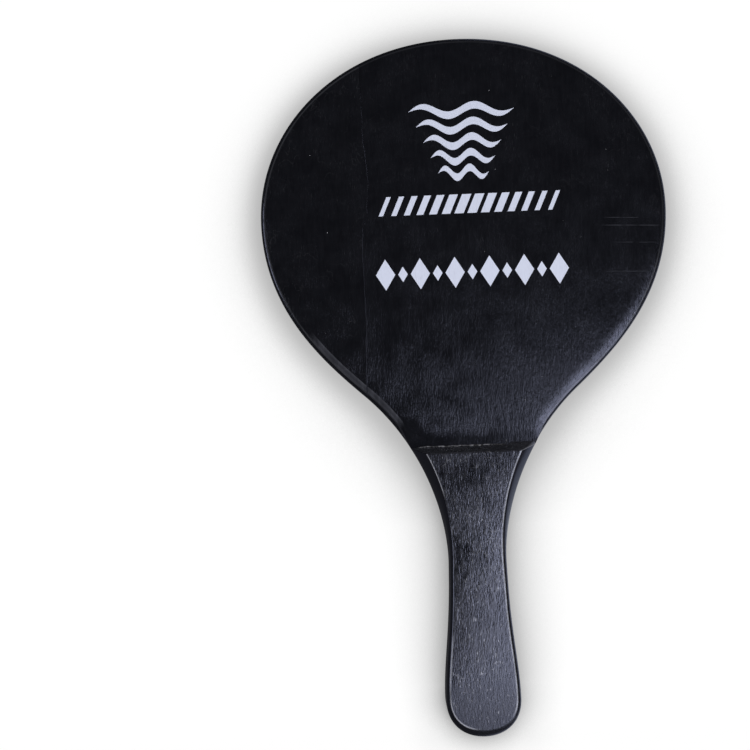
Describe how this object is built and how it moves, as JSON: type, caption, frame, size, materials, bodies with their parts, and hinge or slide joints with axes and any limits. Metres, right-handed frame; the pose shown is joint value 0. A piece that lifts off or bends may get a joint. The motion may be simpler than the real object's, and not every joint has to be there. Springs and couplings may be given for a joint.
{
  "type": "beach tennis racket",
  "caption": "Black-lacquered wooden paddle with a round plywood blade and a flared handle thickened by a glued scale on each side.",
  "frame": {"origin": "centre of the bounding box's bottom: on the back scale's flat face, halfway between the butt end and the blade's tip", "axes": "+Y along the racket from the butt end to the blade's tip, +X across it to the right when looking at the front, +Z out of the front face"},
  "size_m": [0.2244, 0.385, 0.023],
  "materials": {
    "blade_face": "satin black lacquer over fine straight grain",
    "ply_edge": "satin black lacquer on the rounded plywood edge",
    "handle_scale": "thin satin black lacquer over open grain"
  },
  "bodies": {
    "root": {"core_ply": "ply_edge", "crossband_front": "ply_edge", "crossband_back": "ply_edge", "face_veneer_front_left": "blade_face", "face_veneer_front_right": "blade_face", "face_veneer_back": "blade_face", "handle_scale_front": "handle_scale", "handle_scale_back": "handle_scale"}
  },
  "joints": []
}
